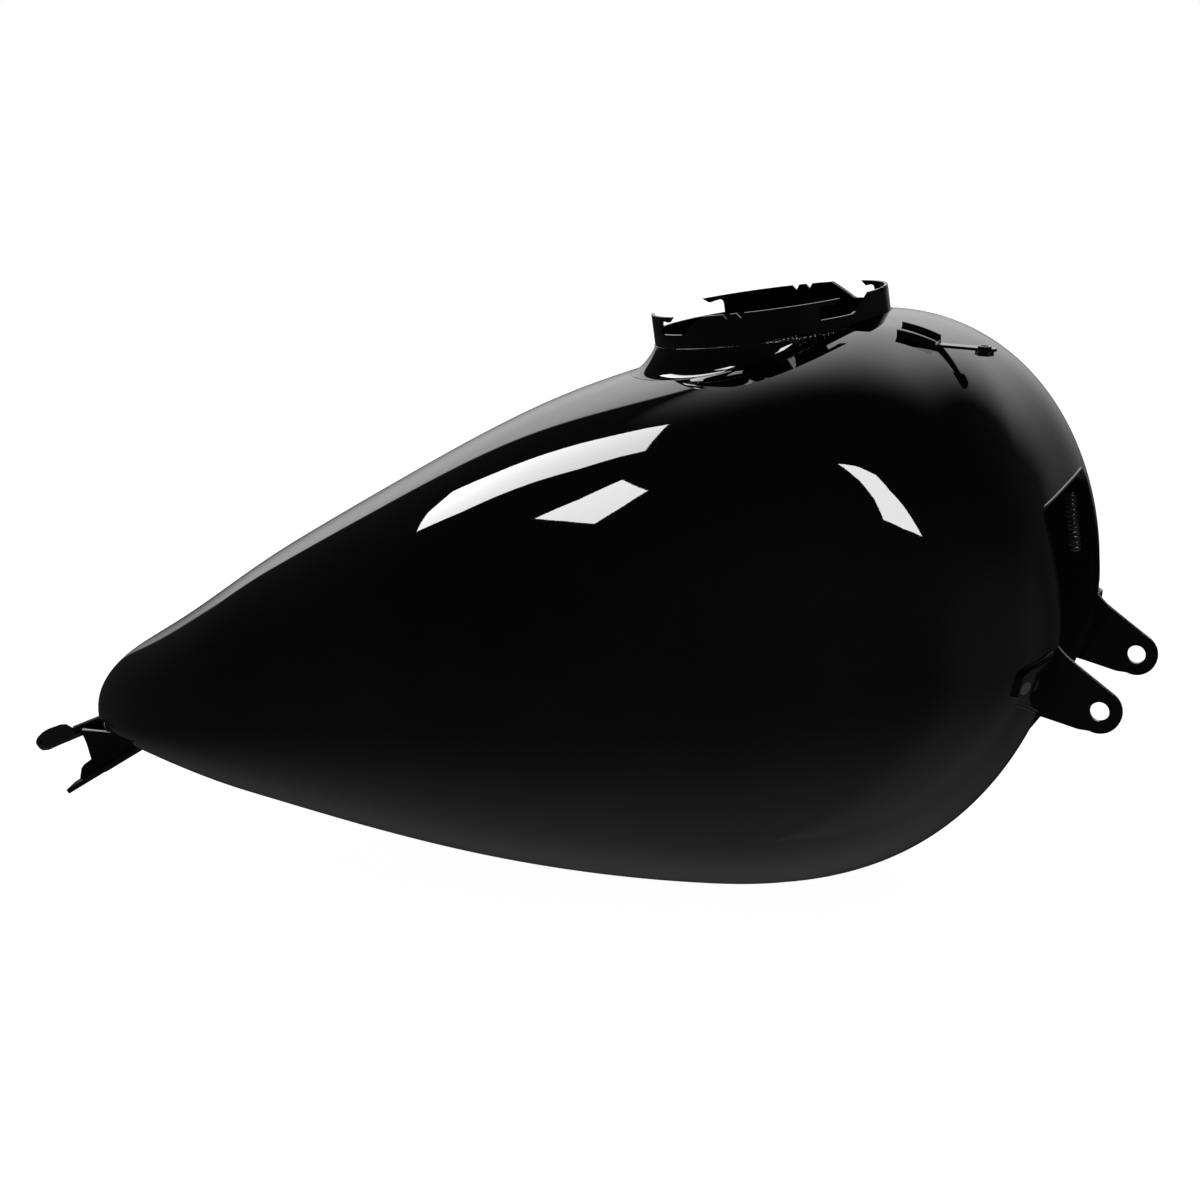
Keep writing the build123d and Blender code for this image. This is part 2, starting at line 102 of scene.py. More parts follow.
def natural_spline(knots, values):
    """Second derivatives of the natural cubic spline through the knots."""
    count = len(knots)
    system = np.eye(count)
    target = np.zeros(count)
    for i in range(1, count - 1):
        before, after = knots[i] - knots[i - 1], knots[i + 1] - knots[i]
        system[i, i - 1 : i + 2] = (before, 2 * (before + after), after)
        rise_after = (values[i + 1] - values[i]) / after
        rise_before = (values[i] - values[i - 1]) / before
        target[i] = 6 * (rise_after - rise_before)
    return np.linalg.solve(system, target)


KNOTS = LINES[:, 0]
SECONDS = [natural_spline(KNOTS, LINES[:, k]) for k in range(1, 5)]


def line_at(k, x):
    """Column k of the lines plan at stations x."""
    values, second = LINES[:, k], SECONDS[k - 1]
    i = np.clip(np.searchsorted(KNOTS, x) - 1, 0, len(KNOTS) - 2)
    gap = KNOTS[i + 1] - KNOTS[i]
    a = (KNOTS[i + 1] - x) / gap
    b = (x - KNOTS[i]) / gap
    curved = (a**3 - a) * second[i] + (b**3 - b) * second[i + 1]
    return a * values[i] + b * values[i + 1] + curved * gap**2 / 6


def rounding(x, nose):
    """1 along the body, falling to 0 at the nose and at the tail."""
    length, fullness = nose
    u = np.clip((x - (NOSE_X - length)) / length, 0, 1)
    v = np.clip((TAIL_X + TAIL_ROUND[0] - x) / TAIL_ROUND[0], 0, 1)
    front = (1 - u**ROUND_ONSET) ** (1 / fullness)
    rear = (1 - v**ROUND_ONSET) ** (1 / TAIL_ROUND[1])
    return front * rear


def body_lines(x):
    crest, half, mid, keel = (line_at(k, x) for k in range(1, 5))
    top = mid + (crest - mid) * rounding(x, CREST_ROUND)
    bottom = mid + (keel - mid) * rounding(x, KEEL_ROUND)
    return top, half * rounding(x, WIDTH_ROUND), mid, bottom


def crown_fullness(x):
    length, gain = NOSE_SQUARING
    return CROWN_FULLNESS + gain * np.clip((x - (NOSE_X - length)) / length, 0, 1) ** 3


def skin_value(p):
    """Below 0 inside the outer skin, above 0 outside it."""
    x = np.clip(p[:, 0], TAIL_X + 0.01, NOSE_X - 0.01)
    top, half, mid, bottom = body_lines(x)
    above = p[:, 2] >= mid
    fullness = np.where(above, crown_fullness(x), BELLY_FULLNESS)
    reach = np.where(above, top - mid, mid - bottom)
    return (np.abs(p[:, 1]) / half) ** fullness + (np.abs(p[:, 2] - mid) / reach) ** fullness - 1


def gradient(value, p, step=0.05):
    """Unit gradient of a level function at points p."""
    parts = []
    for axis in range(3):
        shift = np.zeros(3)
        shift[axis] = step
        parts.append(value(p + shift) - value(p - shift))
    g = np.stack(parts, 1)
    return g / np.maximum(np.linalg.norm(g, axis=1, keepdims=True), 1e-12)


def tunnel_sides(x, offset):
    """Half width and roof height of the frame tunnel, grown by offset."""
    share = (20.0 - x) / 676.0
    half = TUNNEL_HALF_FRONT + (TUNNEL_HALF_REAR - TUNNEL_HALF_FRONT) * share + offset
    roof = np.interp(x, TUNNEL_ROOF[::-1, 0], TUNNEL_ROOF[::-1, 1])
    beyond = np.minimum(x - TUNNEL_ROOF[-1, 0], 0) * 2.0
    return half, roof + beyond + offset


def tunnel_value(p, offset=0.0):
    """Signed distance across the tunnel: below 0 inside it."""
    half, roof = tunnel_sides(p[:, 0], 0.0)
    qy = np.abs(p[:, 1]) - (half - TUNNEL_CORNER)
    qz = p[:, 2] - (roof - TUNNEL_CORNER)
    outside = np.hypot(np.maximum(qy, 0), np.maximum(qz, 0))
    return outside + np.minimum(np.maximum(qy, qz), 0) - TUNNEL_CORNER - offset


NECK_ALONG = np.array([math.cos(NECK_TILT), 0, math.sin(NECK_TILT)])
NECK_UP = np.array([-math.sin(NECK_TILT), 0, math.cos(NECK_TILT)])
NECK_ORIGIN = np.array([NECK_X, 0, NECK_TOP_Z])


def neck_points(radius, angle, height):
    """Points at a radius, angle and height about the neck axis."""
    radius, angle, height = np.broadcast_arrays(radius, angle, height)
    across = np.array([0.0, 1.0, 0.0])
    return (
        NECK_ORIGIN
        + (radius * np.cos(angle))[..., None] * NECK_ALONG
        + (radius * np.sin(angle))[..., None] * across
        + height[..., None] * NECK_UP
    )


def skin_height(radius, angle):
    """Height of the skin along the neck axis at a radius and angle."""
    low = np.full(np.broadcast(radius, angle).shape, -95.0)
    high = np.full(low.shape, 25.0)
    for _ in range(40):
        middle = (low + high) / 2
        points = neck_points(radius, angle, middle).reshape(-1, 3)
        inside = skin_value(points).reshape(low.shape) < 0
        low = np.where(inside, middle, low)
        high = np.where(inside, high, middle)
    return (low + high) / 2


# --- Mesh helpers -------------------------------------------------------------------------


def new_object(name, points, faces, material=None):
    """An object from points in millimetres."""
    mesh = bpy.data.meshes.new(name)
    mesh.from_pydata((np.asarray(points, float) * MM).tolist(), [], faces)
    mesh.validate()
    mesh.update()
    obj = bpy.data.objects.new(name, mesh)
    bpy.context.scene.collection.objects.link(obj)
    if material is not None:
        mesh.materials.append(material)
    return obj


def smooth(obj):
    for polygon in obj.data.polygons:
        polygon.use_smooth = True


def face_grid(rows, columns, offset=0, wrap_rows=False, wrap_columns=False, flip=False):
    """Quads over a grid of points numbered row by row."""
    faces = []
    for i in range(rows if wrap_rows else rows - 1):
        below = (i + 1) % rows
        for j in range(columns if wrap_columns else columns - 1):
            beside = (j + 1) % columns
            here, there = offset + i * columns, offset + below * columns
            quad = (here + j, here + beside, there + beside, there + j)
            faces.append(quad[::-1] if flip else quad)
    return faces


def sweep(name, path, outward, radii, sides, closed, material):
    """A round bar along a path. outward is a direction across it at each point, and radii its
    radius there, one value a side."""
    path = np.asarray(path, float)
    if closed:
        along = np.roll(path, -1, 0) - np.roll(path, 1, 0)
    else:
        along = np.gradient(path, axis=0)
    along /= np.linalg.norm(along, axis=1, keepdims=True)
    first = outward - (outward * along).sum(1, keepdims=True) * along
    first /= np.linalg.norm(first, axis=1, keepdims=True)
    second = np.cross(along, first)
    turn = np.arange(sides) * 2 * math.pi / sides
    rings = (
        path[:, None]
        + radii[..., None] * np.cos(turn)[None, :, None] * first[:, None]
        + radii[..., None] * np.sin(turn)[None, :, None] * second[:, None]
    )
    count = len(path)
    faces = face_grid(count, sides, wrap_rows=closed, wrap_columns=True)
    points = rings.reshape(-1, 3)
    if not closed:
        faces.append(tuple(range(sides))[::-1])
        faces.append(tuple(range((count - 1) * sides, count * sides)))
    obj = new_object(name, points, faces, material)
    smooth(obj)
    return obj


def lumps(points, scale, seed):
    """Repeatable noise from -1 to 1 at points, one lump to every scale millimetres."""
    return np.array([noise.noise(Vector(p) / scale + Vector((seed, 7.1, 3.3))) for p in points])


def step_between(value, start, end):
    """Smooth step from 0 at start to 1 at end; either may be the larger."""
    share = np.clip((value - start) / (end - start), 0, 1)
    return share * share * (3 - 2 * share)


# --- Materials ----------------------------------------------------------------------------


class Shader:
    """A material with a Principled shader and a few shorthand ways to add nodes."""

    def __init__(self, name):
        self.material = bpy.data.materials.new(name)
        self.material.use_nodes = True
        self.tree = self.material.node_tree
        self.main = self.tree.nodes["Principled BSDF"]
        self.place = self.add("ShaderNodeTexCoord").outputs["Object"]

    def add(self, kind, **values):
        node = self.tree.nodes.new(kind)
        for key, value in values.items():
            setattr(node, key, value)
        return node

    def link(self, source, target):
        self.tree.links.new(source, target)

    def noise(self, scale, detail=3.0, rough=0.5, stretch=None):
        node = self.add("ShaderNodeTexNoise")
        node.inputs["Scale"].default_value = scale
        node.inputs["Detail"].default_value = detail
        node.inputs["Roughness"].default_value = rough
        place = self.place
        if stretch is not None:
            mapping = self.add("ShaderNodeMapping")
            mapping.inputs["Scale"].default_value = stretch
            self.link(place, mapping.inputs["Vector"])
            place = mapping.outputs["Vector"]
        self.link(place, node.inputs["Vector"])
        return node.outputs["Fac"]

    def ramp(self, source, stops):
        node = self.add("ShaderNodeValToRGB")
        elements = node.color_ramp.elements
        while len(elements) < len(stops):
            elements.new(0.5)
        for element, (position, colour) in zip(elements, stops):
            element.position = position
            element.color = (*colour, 1.0)
        self.link(source, node.inputs["Fac"])
        return node.outputs["Color"]

    def remap(self, source, low, high, to_low, to_high):
        node = self.add("ShaderNodeMapRange")
        ends = {"From Min": low, "From Max": high, "To Min": to_low, "To Max": to_high}
        for key, value in ends.items():
            node.inputs[key].default_value = value
        self.link(source, node.inputs["Value"])
        return node.outputs["Result"]

    def bump(self, source, distance, after=None):
        node = self.add("ShaderNodeBump")
        node.inputs["Strength"].default_value = 1.0
        node.inputs["Distance"].default_value = distance
        self.link(source, node.inputs["Height"])
        if after is not None:
            self.link(after, node.inputs["Normal"])
        return node.outputs["Normal"]

    def specks(self, scale, size):
        """1 inside small scattered specks, 0 elsewhere."""
        cells = self.add("ShaderNodeTexVoronoi")
        cells.inputs["Scale"].default_value = scale
        self.link(self.place, cells.inputs["Vector"])
        return self.remap(cells.outputs["Distance"], size, size * 1.6, 1.0, 0.0)


def black_paint(name, peel, haze, dark, light, coat_haze=0.015):
    """Black lacquer: a clear coat with faint orange peel over pigment, dust and light haze.
    peel is the height of the orange peel in metres, haze and coat_haze are roughnesses, and dark
    and light are the ends of the pigment's tone."""
    shader = Shader(name)
    clouds = shader.noise(9.0, 4.0, 0.6)
    base = shader.ramp(clouds, [(0.3, dark), (0.75, light)])
    dust = shader.specks(420.0, 0.018)
    mix = shader.add("ShaderNodeMixRGB")
    shader.link(dust, mix.inputs["Fac"])
    shader.link(base, mix.inputs["Color1"])
    mix.inputs["Color2"].default_value = (0.015, 0.015, 0.016, 1.0)
    shader.link(mix.outputs["Color"], shader.main.inputs["Base Color"])
    rough = shader.remap(shader.noise(60.0, 3.0), 0.3, 0.7, haze, haze * 1.8)
    shader.link(rough, shader.main.inputs["Roughness"])
    shader.main.inputs["Specular IOR Level"].default_value = 0.0
    shader.main.inputs["Coat Weight"].default_value = 1.0
    shader.main.inputs["Coat Roughness"].default_value = coat_haze
    shader.main.inputs["Coat IOR"].default_value = 1.5
    slow = shader.bump(shader.noise(40.0, 1.0), peel * 3.0)
    fine = shader.bump(shader.noise(700.0, 2.0), peel, after=slow)
    shader.link(fine, shader.main.inputs["Normal"])
    shader.link(fine, shader.main.inputs["Coat Normal"])
    return shader.material


def bare_metal(name, low, high, rough_low, rough_high, grain):
    """Sheet metal: cloudy tone, drawn grain and small stains."""
    shader = Shader(name)
    clouds = shader.noise(35.0, 5.0, 0.65)
    shader.link(shader.ramp(clouds, [(0.32, low), (0.7, high)]), shader.main.inputs["Base Color"])
    shader.main.inputs["Metallic"].default_value = 1.0
    lines = shader.noise(90.0, 4.0, 0.6, stretch=(1.0, 14.0, 14.0))
    shader.link(shader.remap(lines, 0.3, 0.7, rough_low, rough_high), shader.main.inputs["Roughness"])
    stains = shader.bump(shader.noise(220.0, 3.0), grain)
    shader.link(shader.bump(lines, grain, after=stains), shader.main.inputs["Normal"])
    return shader.material


gloss_black = black_paint(
    "gloss_black_paint", 1.2e-6, 0.22, (0.0022, 0.0022, 0.0024), (0.004, 0.004, 0.0043)
)
weld_black = black_paint("painted_weld", 1.2e-5, 0.3, (0.003, 0.003, 0.003), (0.009, 0.009, 0.009))
dull_weld = black_paint(
    "painted_weld_dull", 1.2e-5, 0.4, (0.004, 0.004, 0.004), (0.012, 0.012, 0.012), coat_haze=0.3
)
# The plug welds get a paint ten times lighter than the rest: a painted highlight standing in for the
# glint on their domes.
plug_glint_paint = black_paint("plug_weld_painted_glint", 8.0e-6, 0.4, (0.03, 0.03, 0.03), (0.06, 0.06, 0.06))
bare_steel = bare_metal(
    "bare_steel", (0.22, 0.215, 0.205), (0.42, 0.41, 0.40), 0.38, 0.62, 1.0e-5
)

SLOT_MATERIAL = {
    "gloss_black": gloss_black,
    "painted_weld": weld_black,
    "bare_steel": bare_steel,
}

# --- Skin of the two sides ----------------------------------------------------------------

STATIONS = 300
ROUND_STEPS = 150
SHAVE = 0.02  # keeps the visible skin inside the part's own box
ON_SKIN = 4e-3  # level within which a vertex counts as lying on the outer skin
FACING = 0.8  # least cosine between a face and the form for the face to be skin


def skin_grid(offset):
    """Grid of points over the right half of the skin, from the crest round to the keel."""
    middle, reach = (TAIL_X + NOSE_X) / 2, (NOSE_X - TAIL_X) / 2
    grown = (reach + offset) / reach
    turn = np.linspace(0.012, math.pi - 0.012, STATIONS)
    x = middle - reach * np.cos(turn)
    top, half, mid, bottom = (line[:, None] for line in body_lines(x))
    angle = np.linspace(0, math.pi, ROUND_STEPS)
    c, s = np.cos(angle)[None], np.sin(angle)[None]
    above = c >= 0
    fullness = np.where(above, crown_fullness(x)[:, None], BELLY_FULLNESS)
    reach_z = np.where(above, top - mid, mid - bottom) + offset
    y = -np.maximum(half + offset, 0.01) * np.clip(s, 0, 1) ** (2 / fullness)
    y[:, -1] = 0
    z = mid + np.maximum(reach_z, 0.01) * np.sign(c) * np.abs(c) ** (2 / fullness)
    return np.stack([np.broadcast_to(middle + (x - middle)[:, None] * grown, y.shape), y, z], -1)


def shell_solid(name, mirrored):
    """One side as a closed sheet, before its openings are cut."""
    outer, inner = skin_grid(-SHAVE), skin_grid(-SKIN)
    outer[..., 1] = np.maximum(outer[..., 1], cad_low.y / MM + SHAVE)
    size = STATIONS * ROUND_STEPS
    points = np.concatenate([outer.reshape(-1, 3), inner.reshape(-1, 3)])
    faces = face_grid(STATIONS, ROUND_STEPS)
    faces += face_grid(STATIONS, ROUND_STEPS, offset=size, flip=True)
    ends = [
        [outer[0].mean(0) * (1, 0, 1), inner[0].mean(0) * (1, 0, 1)],
        [outer[-1].mean(0) * (1, 0, 1), inner[-1].mean(0) * (1, 0, 1)],
    ]
    first_pole = len(points)
    points = np.concatenate([points, np.array(ends).reshape(-1, 3)])
    last = (STATIONS - 1) * ROUND_STEPS
    for layer in range(2):
        shift = layer * size
        for j in range(ROUND_STEPS - 1):
            tail = (shift + j + 1, shift + j, first_pole + layer)
            nose = (shift + last + j, shift + last + j + 1, first_pole + 2 + layer)
            faces += [tail, nose] if layer == 0 else [tail[::-1], nose[::-1]]
    crest = [i * ROUND_STEPS for i in range(STATIONS)]
    keel = [i * ROUND_STEPS + ROUND_STEPS - 1 for i in range(STATIONS)]
    loop = crest + [first_pole + 2] + keel[::-1] + [first_pole]
    inside = [v + size if v < first_pole else v + 1 for v in loop]
    for k in range(len(loop)):
        n = (k + 1) % len(loop)
        faces.append((loop[k], loop[n], inside[n], inside[k]))
    if mirrored:
        points = points * (1, -1, 1)
        faces = [face[::-1] for face in faces]
    return new_object(name, points, faces)


def tunnel_cutter(offset):
    """Solid of the frame tunnel, grown by offset."""
    stations = np.array([60.0, 20, -60, -140, -240, -340, -420, -500, -550, -596, -620, -640])
    corner = np.radians(np.linspace(0, 90, 13))
    rows = []
    for x in stations:
        half, roof = tunnel_sides(np.array(x), offset)
        r = TUNNEL_CORNER + offset
        turned = [(half - r + r * math.cos(a), roof - r + r * math.sin(a)) for a in corner]
        side = [(half, -260.0)] + turned
        outline = side + [(-y, z) for y, z in side[::-1]]
        rows.append([(x, y, z) for y, z in outline])
    columns = len(rows[0])
    faces = face_grid(len(rows), columns, wrap_columns=True, flip=True)
    faces.append(tuple(range(columns)))
    faces.append(tuple(range((len(rows) - 1) * columns, len(rows) * columns))[::-1])
    return new_object("cut_tunnel", np.array(rows).reshape(-1, 3), faces)


def neck_cutter(radius, low, high):
    turn = np.arange(180) * 2 * math.pi / 180
    points = np.concatenate([neck_points(radius, turn, low), neck_points(radius, turn, high)])
    faces = face_grid(2, 180, wrap_columns=True)
    faces.append(tuple(range(180))[::-1])
    faces.append(tuple(range(180, 360)))
    return new_object("cut_neck", points, faces)


def cut(obj, cutters):
    """Takes the cutters away from obj, for good."""
    for cutter in cutters:
        modifier = obj.modifiers.new("cut", "BOOLEAN")
        modifier.operation = "DIFFERENCE"
        modifier.solver = "MANIFOLD"
        modifier.object = cutter
    graph = bpy.context.evaluated_depsgraph_get()
    made = bpy.data.meshes.new_from_object(obj.evaluated_get(graph))
    obj.modifiers.clear()
    obj.data = made


def dress_shell(obj, node):
    """Materials, and normals taken from the form itself so that reflections stay clean."""
    mesh = obj.data
    mesh.materials.clear()
    mesh.materials.append(gloss_black)
    mesh.materials.append(bare_steel)
    count = len(mesh.vertices)
    points = np.empty(count * 3)
    mesh.vertices.foreach_get("co", points)
    points = points.reshape(-1, 3) / MM
    facing = gradient(skin_value, points)
    on_skin = np.abs(skin_value(points)) < ON_SKIN
    loop_normals = np.zeros((len(mesh.loops), 3))
    for polygon in mesh.polygons:
        polygon.use_smooth = True
        vertices = list(polygon.vertices)
        direction = np.array(polygon.normal)
        outward = facing[vertices] @ direction
        if on_skin[vertices].all() and outward.min() > FACING:
            for loop, vertex in zip(polygon.loop_indices, vertices):
                loop_normals[loop] = facing[vertex]
        elif outward.max() < -FACING:
            polygon.material_index = 1
        else:
            for loop in polygon.loop_indices:
                loop_normals[loop] = direction
    mesh.normals_split_custom_set(loop_normals.tolist())
    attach(obj, "root")
    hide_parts(node)


seat_low = -(TAB_HEIGHT + NECK_BEAD * 1.2)
cutters = [
    tunnel_cutter(SKIN),
    neck_cutter(NECK_HOLE_R, -110.0, -10.0),
    neck_cutter(FLANGE_R + NECK_BEAD * 0.4, seat_low, 40.0),
]
for side, flip in (("right", False), ("left", True)):
    shell = shell_solid(f"{side}_side_skin", flip)
    cut(shell, cutters)
    dress_shell(shell, f"{side}_side_shell")
for cutter in cutters:
    bpy.data.objects.remove(cutter)

# --- Rolled rim where skin and tunnel meet ------------------------------------------------

RIM_OFFSET = 0.8
RIM_RADIUS = 1.25
RIM_SUNK = 0.65
RIM_SIDES = 10
RIM_THINNING = 0.55  # where the rim passes through the ear plates


def rim_path():
    """Closed line on the skin round the tunnel's opening."""

    def across(p):
        return tunnel_value(p, RIM_OFFSET)

    point = np.array([[-37.0, 0.0, 112.0]])
    path = []
    for step in range(4000):
        for _ in range(5):
            for value in (skin_value, across):
                g = gradient(value, point, 0.01)
                slope = (value(point + g * 0.02) - value(point - g * 0.02)) / 0.04
                point = point - g * (value(point) / slope)[:, None]
        path.append(point[0].copy())
        along = np.cross(gradient(skin_value, point, 0.01), gradient(across, point, 0.01))
        point = point + 1.5 * along / np.linalg.norm(along)
        if step > 50 and np.linalg.norm(point[0] - path[0]) < 1.4:
            break
    return np.array(path)


rim_line = rim_path()
rim_line[:, 2] = np.maximum(rim_line[:, 2], cad_low.z / MM + RIM_RADIUS)
rim_facing = gradient(skin_value, rim_line)
at_ear = step_between(rim_line[:, 2], -12, -5) * step_between(rim_line[:, 2], 45, 37)
rim_radii = RIM_RADIUS * (1 - RIM_THINNING * at_ear[:, None] * np.ones(RIM_SIDES))
rim = sweep(
    "tunnel_rolled_rim",
    rim_line - rim_facing * RIM_SUNK,
    rim_facing,
    rim_radii,
    RIM_SIDES,
    True,
    gloss_black,
)
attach(rim, "root")

# --- Neck: flare and its weld -------------------------------------------------------------

# Reach of the flare for each millimetre that the ring stands above the skin
FLARE_REACH_SIDE = 0.4
FLARE_REACH_REAR = 1.55
FLARE_REACH_LIMITS = (1.6, 40.0)
FLARE_REAR_LEAN = 0.7
FLARE_SHEET = 1.6


def flare():
    """Collar drawn up from the skin to the lock flange, meeting the skin without an edge."""
    turns, steps = 360, 16
    angle = np.arange(turns) * 2 * math.pi / turns
    start_r, start_h = FLANGE_R - 0.3, -TAB_HEIGHT + 0.2
    gap = start_h - skin_height(np.full(turns, FLANGE_R), angle)
    rear = np.clip(-np.cos(angle), 0, 1) ** 2
    share = FLARE_REACH_SIDE + (FLARE_REACH_REAR - FLARE_REACH_SIDE) * rear
    reach = np.clip(share * gap, *FLARE_REACH_LIMITS)
    end_r = FLANGE_R + reach
    end_h = skin_height(end_r, angle)
    slope = skin_height(end_r + 0.5, angle) - skin_height(end_r - 0.5, angle)
    length = np.hypot(reach, start_h - end_h)
    leave = np.stack([FLARE_REAR_LEAN * rear, -np.ones(turns)], 1)
    leave *= (length / np.linalg.norm(leave, axis=1))[:, None]
    arrive = np.stack([np.ones(turns), slope], 1)
    arrive *= (length / np.linalg.norm(arrive, axis=1))[:, None]
    begin = np.stack([np.full(turns, start_r), np.full(turns, start_h)], 1)
    end = np.stack([end_r, end_h - 0.06], 1)
    face = []
    for k in range(steps + 1):
        t = k / steps
        blend = (
            (2 * t**3 - 3 * t**2 + 1) * begin
            + (t**3 - 2 * t**2 + t) * leave
            + (3 * t**2 - 2 * t**3) * end
            + (t**3 - t**2) * arrive
        )
        face.append(blend)
    back = [row - np.array([FLARE_SHEET, 0.5 * k / steps + 0.1]) for k, row in enumerate(face)]
    rows = face + back[::-1]
    points = np.array([neck_points(row[:, 0], angle, row[:, 1]) for row in rows])
    faces = face_grid(len(rows), turns, wrap_rows=True, wrap_columns=True, flip=True)
    obj = new_object("neck_flare", points.reshape(-1, 3), faces, gloss_black)
    smooth(obj)
    return obj


collar = flare()
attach(collar, "root")
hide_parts("neck_collar")


def bead_radii(path, sides, radius, ripple, rough, pitch, seed):
    """Radii of a hand-laid weld: overlapping ripples along it, pitch apart, and lumps all over."""
    count = len(path)
    step = np.linalg.norm(np.diff(path, axis=0), axis=1)
    run = np.concatenate([[0], np.cumsum(step)])
    phase = (run / pitch + 0.35 * lumps(path, 6.0, seed)) % 1.0
    ridge = (1 - phase) ** 0.6
    radii = np.empty((count, sides))
    for k in range(sides):
        fine = lumps(path + np.array([0, 0, 2.3 * k]), 1.6, seed + 1)
        jitter = fine + 0.5 * lumps(path, 5.0, seed + 2)
        radii[:, k] = radius + ripple * (ridge - 0.5) + rough * jitter
    return radii


BEAD_STEPS = 1100
bead_turn = np.arange(BEAD_STEPS) * 2 * math.pi / BEAD_STEPS
bead_path = neck_points(FLANGE_R + 0.1 + 0 * bead_turn, bead_turn, -TAB_HEIGHT + 0 * bead_turn)
bead_out = neck_points(1.0, bead_turn, 0.0) - NECK_ORIGIN
bead_degrees = (np.degrees(bead_turn) + 180) % 360 - 180
# The bead is heavy at the front right, where the ring stands nearest to the skin.
heavy = step_between(bead_degrees, -90, -62) * step_between(bead_degrees, 32, 8)
bead_size = bead_radii(bead_path, 12, 0.55 + 1.1 * heavy, 0.1 + 0.45 * heavy, 0.1 + 0.8 * heavy, 2.6, 11)
neck_bead = sweep("neck_weld_ripple", bead_path, bead_out, bead_size, 12, True, weld_black)
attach(neck_bead, "root")
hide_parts("neck_weld_bead")

# --- Welds at the ears and in the tunnel mouth --------------------------------------------


def on_front_skin(y, z):
    """Point of the front skin at a width and height."""
    low, high = np.full(len(y), -150.0), np.full(len(y), NOSE_X)
    for _ in range(40):
        middle = (low + high) / 2
        inside = skin_value(np.stack([middle, y, z], 1)) < 0
        low, high = np.where(inside, middle, low), np.where(inside, high, middle)
    return np.stack([low, y, z], 1)


def join(name, parts):
    """One object from several."""
    points, faces = [], []
    for part in parts:
        start = len(points)
        points += [v.co / MM for v in part.data.vertices]
        faces += [tuple(start + i for i in polygon.vertices) for polygon in part.data.polygons]
    material = parts[0].data.materials[0]
    for part in parts:
        bpy.data.objects.remove(part)
    obj = new_object(name, [tuple(p) for p in points], faces, material)
    smooth(obj)
    return obj


def tapered(radii, ends=4):
    """Runs a bead out to nothing at both ends."""
    count = len(radii)
    run = np.minimum(np.arange(count), np.arange(count)[::-1]) / ends
    return radii * np.clip(0.25 + 0.75 * run, 0.25, 1.0)[:, None]


# Ends of the beads above and below each foot, as width and height on the front skin
EAR_BEADS = (((83, 34.6), (114, 31.3)), ((76, -2.7), (114, 10.9)))
# Bead inside the tunnel mouth: its top end on the left wall, its run, and its half width and height
MOUTH_BEAD_TOP = (-42.5, 70.5, 97.0)
MOUTH_BEAD_RUN = (4.5, 0.0, -37.0)
MOUTH_BEAD_HALF = (1.8, 3.6)
MOUTH_BEAD_SIDES = 16

around = np.arange(MOUTH_BEAD_SIDES) * 2 * math.pi / MOUTH_BEAD_SIDES
mouth_section = 1 / np.hypot(np.cos(around) / MOUTH_BEAD_HALF[0], np.sin(around) / MOUTH_BEAD_HALF[1])
for side, sign in (("right", -1.0), ("left", 1.0)):
    beads = []
    for k, (start, end) in enumerate(EAR_BEADS):
        share = np.linspace(0, 1, 90)
        y = sign * (start[0] + (end[0] - start[0]) * share)
        z = start[1] + (end[1] - start[1]) * share
        path = on_front_skin(y, z)
        size = tapered(bead_radii(path, 10, 0.7, 0.2, 0.2, 2.2, 20 + k))
        beads.append(sweep(f"bead_{k}", path, gradient(skin_value, path), size, 10, False, weld_black))
    ear_bead = join(f"ear_weld_ripple_{side}", beads)
    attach(ear_bead, "root")
    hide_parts(f"ear_seam_weld_{side}")

    share = np.linspace(0, 1, 120)[:, None]
    path = np.array(MOUTH_BEAD_TOP) * (1, sign, 1) + share * np.array(MOUTH_BEAD_RUN)
    inward = np.tile(np.array([0.0, -sign, 0.0]), (len(path), 1))
    size = bead_radii(path, MOUTH_BEAD_SIDES, 1.0, 0.25, 0.22, 2.8, 30) * mouth_section
    mouth_bead = sweep(
        f"mouth_weld_ripple_{side}",
        path,
        inward,
        tapered(size),
        MOUTH_BEAD_SIDES,
        False,
        dull_weld,
    )
    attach(mouth_bead, "root")
    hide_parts(f"notch_weld_{side}")

# --- CAD pieces that stay: finish and softened edges --------------------------------------

SOFT_EDGE = {
    "lock_flange": 0.35,
    "tunnel_panel": 0.3,
    "front_ear_right": 0.3,
    "front_ear_left": 0.3,
    "rear_hanger_channel": 0.5,
    "rear_hanger_tongue": 0.5,
    "console_bracket_base": 0.25,
    "console_bracket_arm": 0.35,
    "console_weld_nut": 0.3,
    "console_washer": 0.2,
    "surge_baffle_right": 0.2,
    "surge_baffle_left": 0.2,
    "pump_locating_bracket": 0.4,
    "ear_plug_weld_right": 0.3,
    "ear_plug_weld_left": 0.3,
}
slots = {part["node"]: part["material_slot"] for part in frame["record"]["subparts"]}
for name, width in SOFT_EDGE.items():
    node = nodes[name]
    node.data.materials.clear()
    # plug welds take the lighter grey paint, a painted highlight
    node.data.materials.append(plug_glint_paint if "plug" in name else SLOT_MATERIAL[slots[name]])
    for polygon in node.data.polygons:
        polygon.material_index = 0
    soften = node.modifiers.new("soft_edges", "BEVEL")
    soften.width = width * MM
    soften.segments = 2
    soften.limit_method = "ANGLE"
    soften.angle_limit = math.radians(35)
    soften.miter_outer = "MITER_ARC"
    even = node.modifiers.new("even_normals", "WEIGHTED_NORMAL")
    even.weight = 90

# --- Floor, light and camera --------------------------------------------------------------


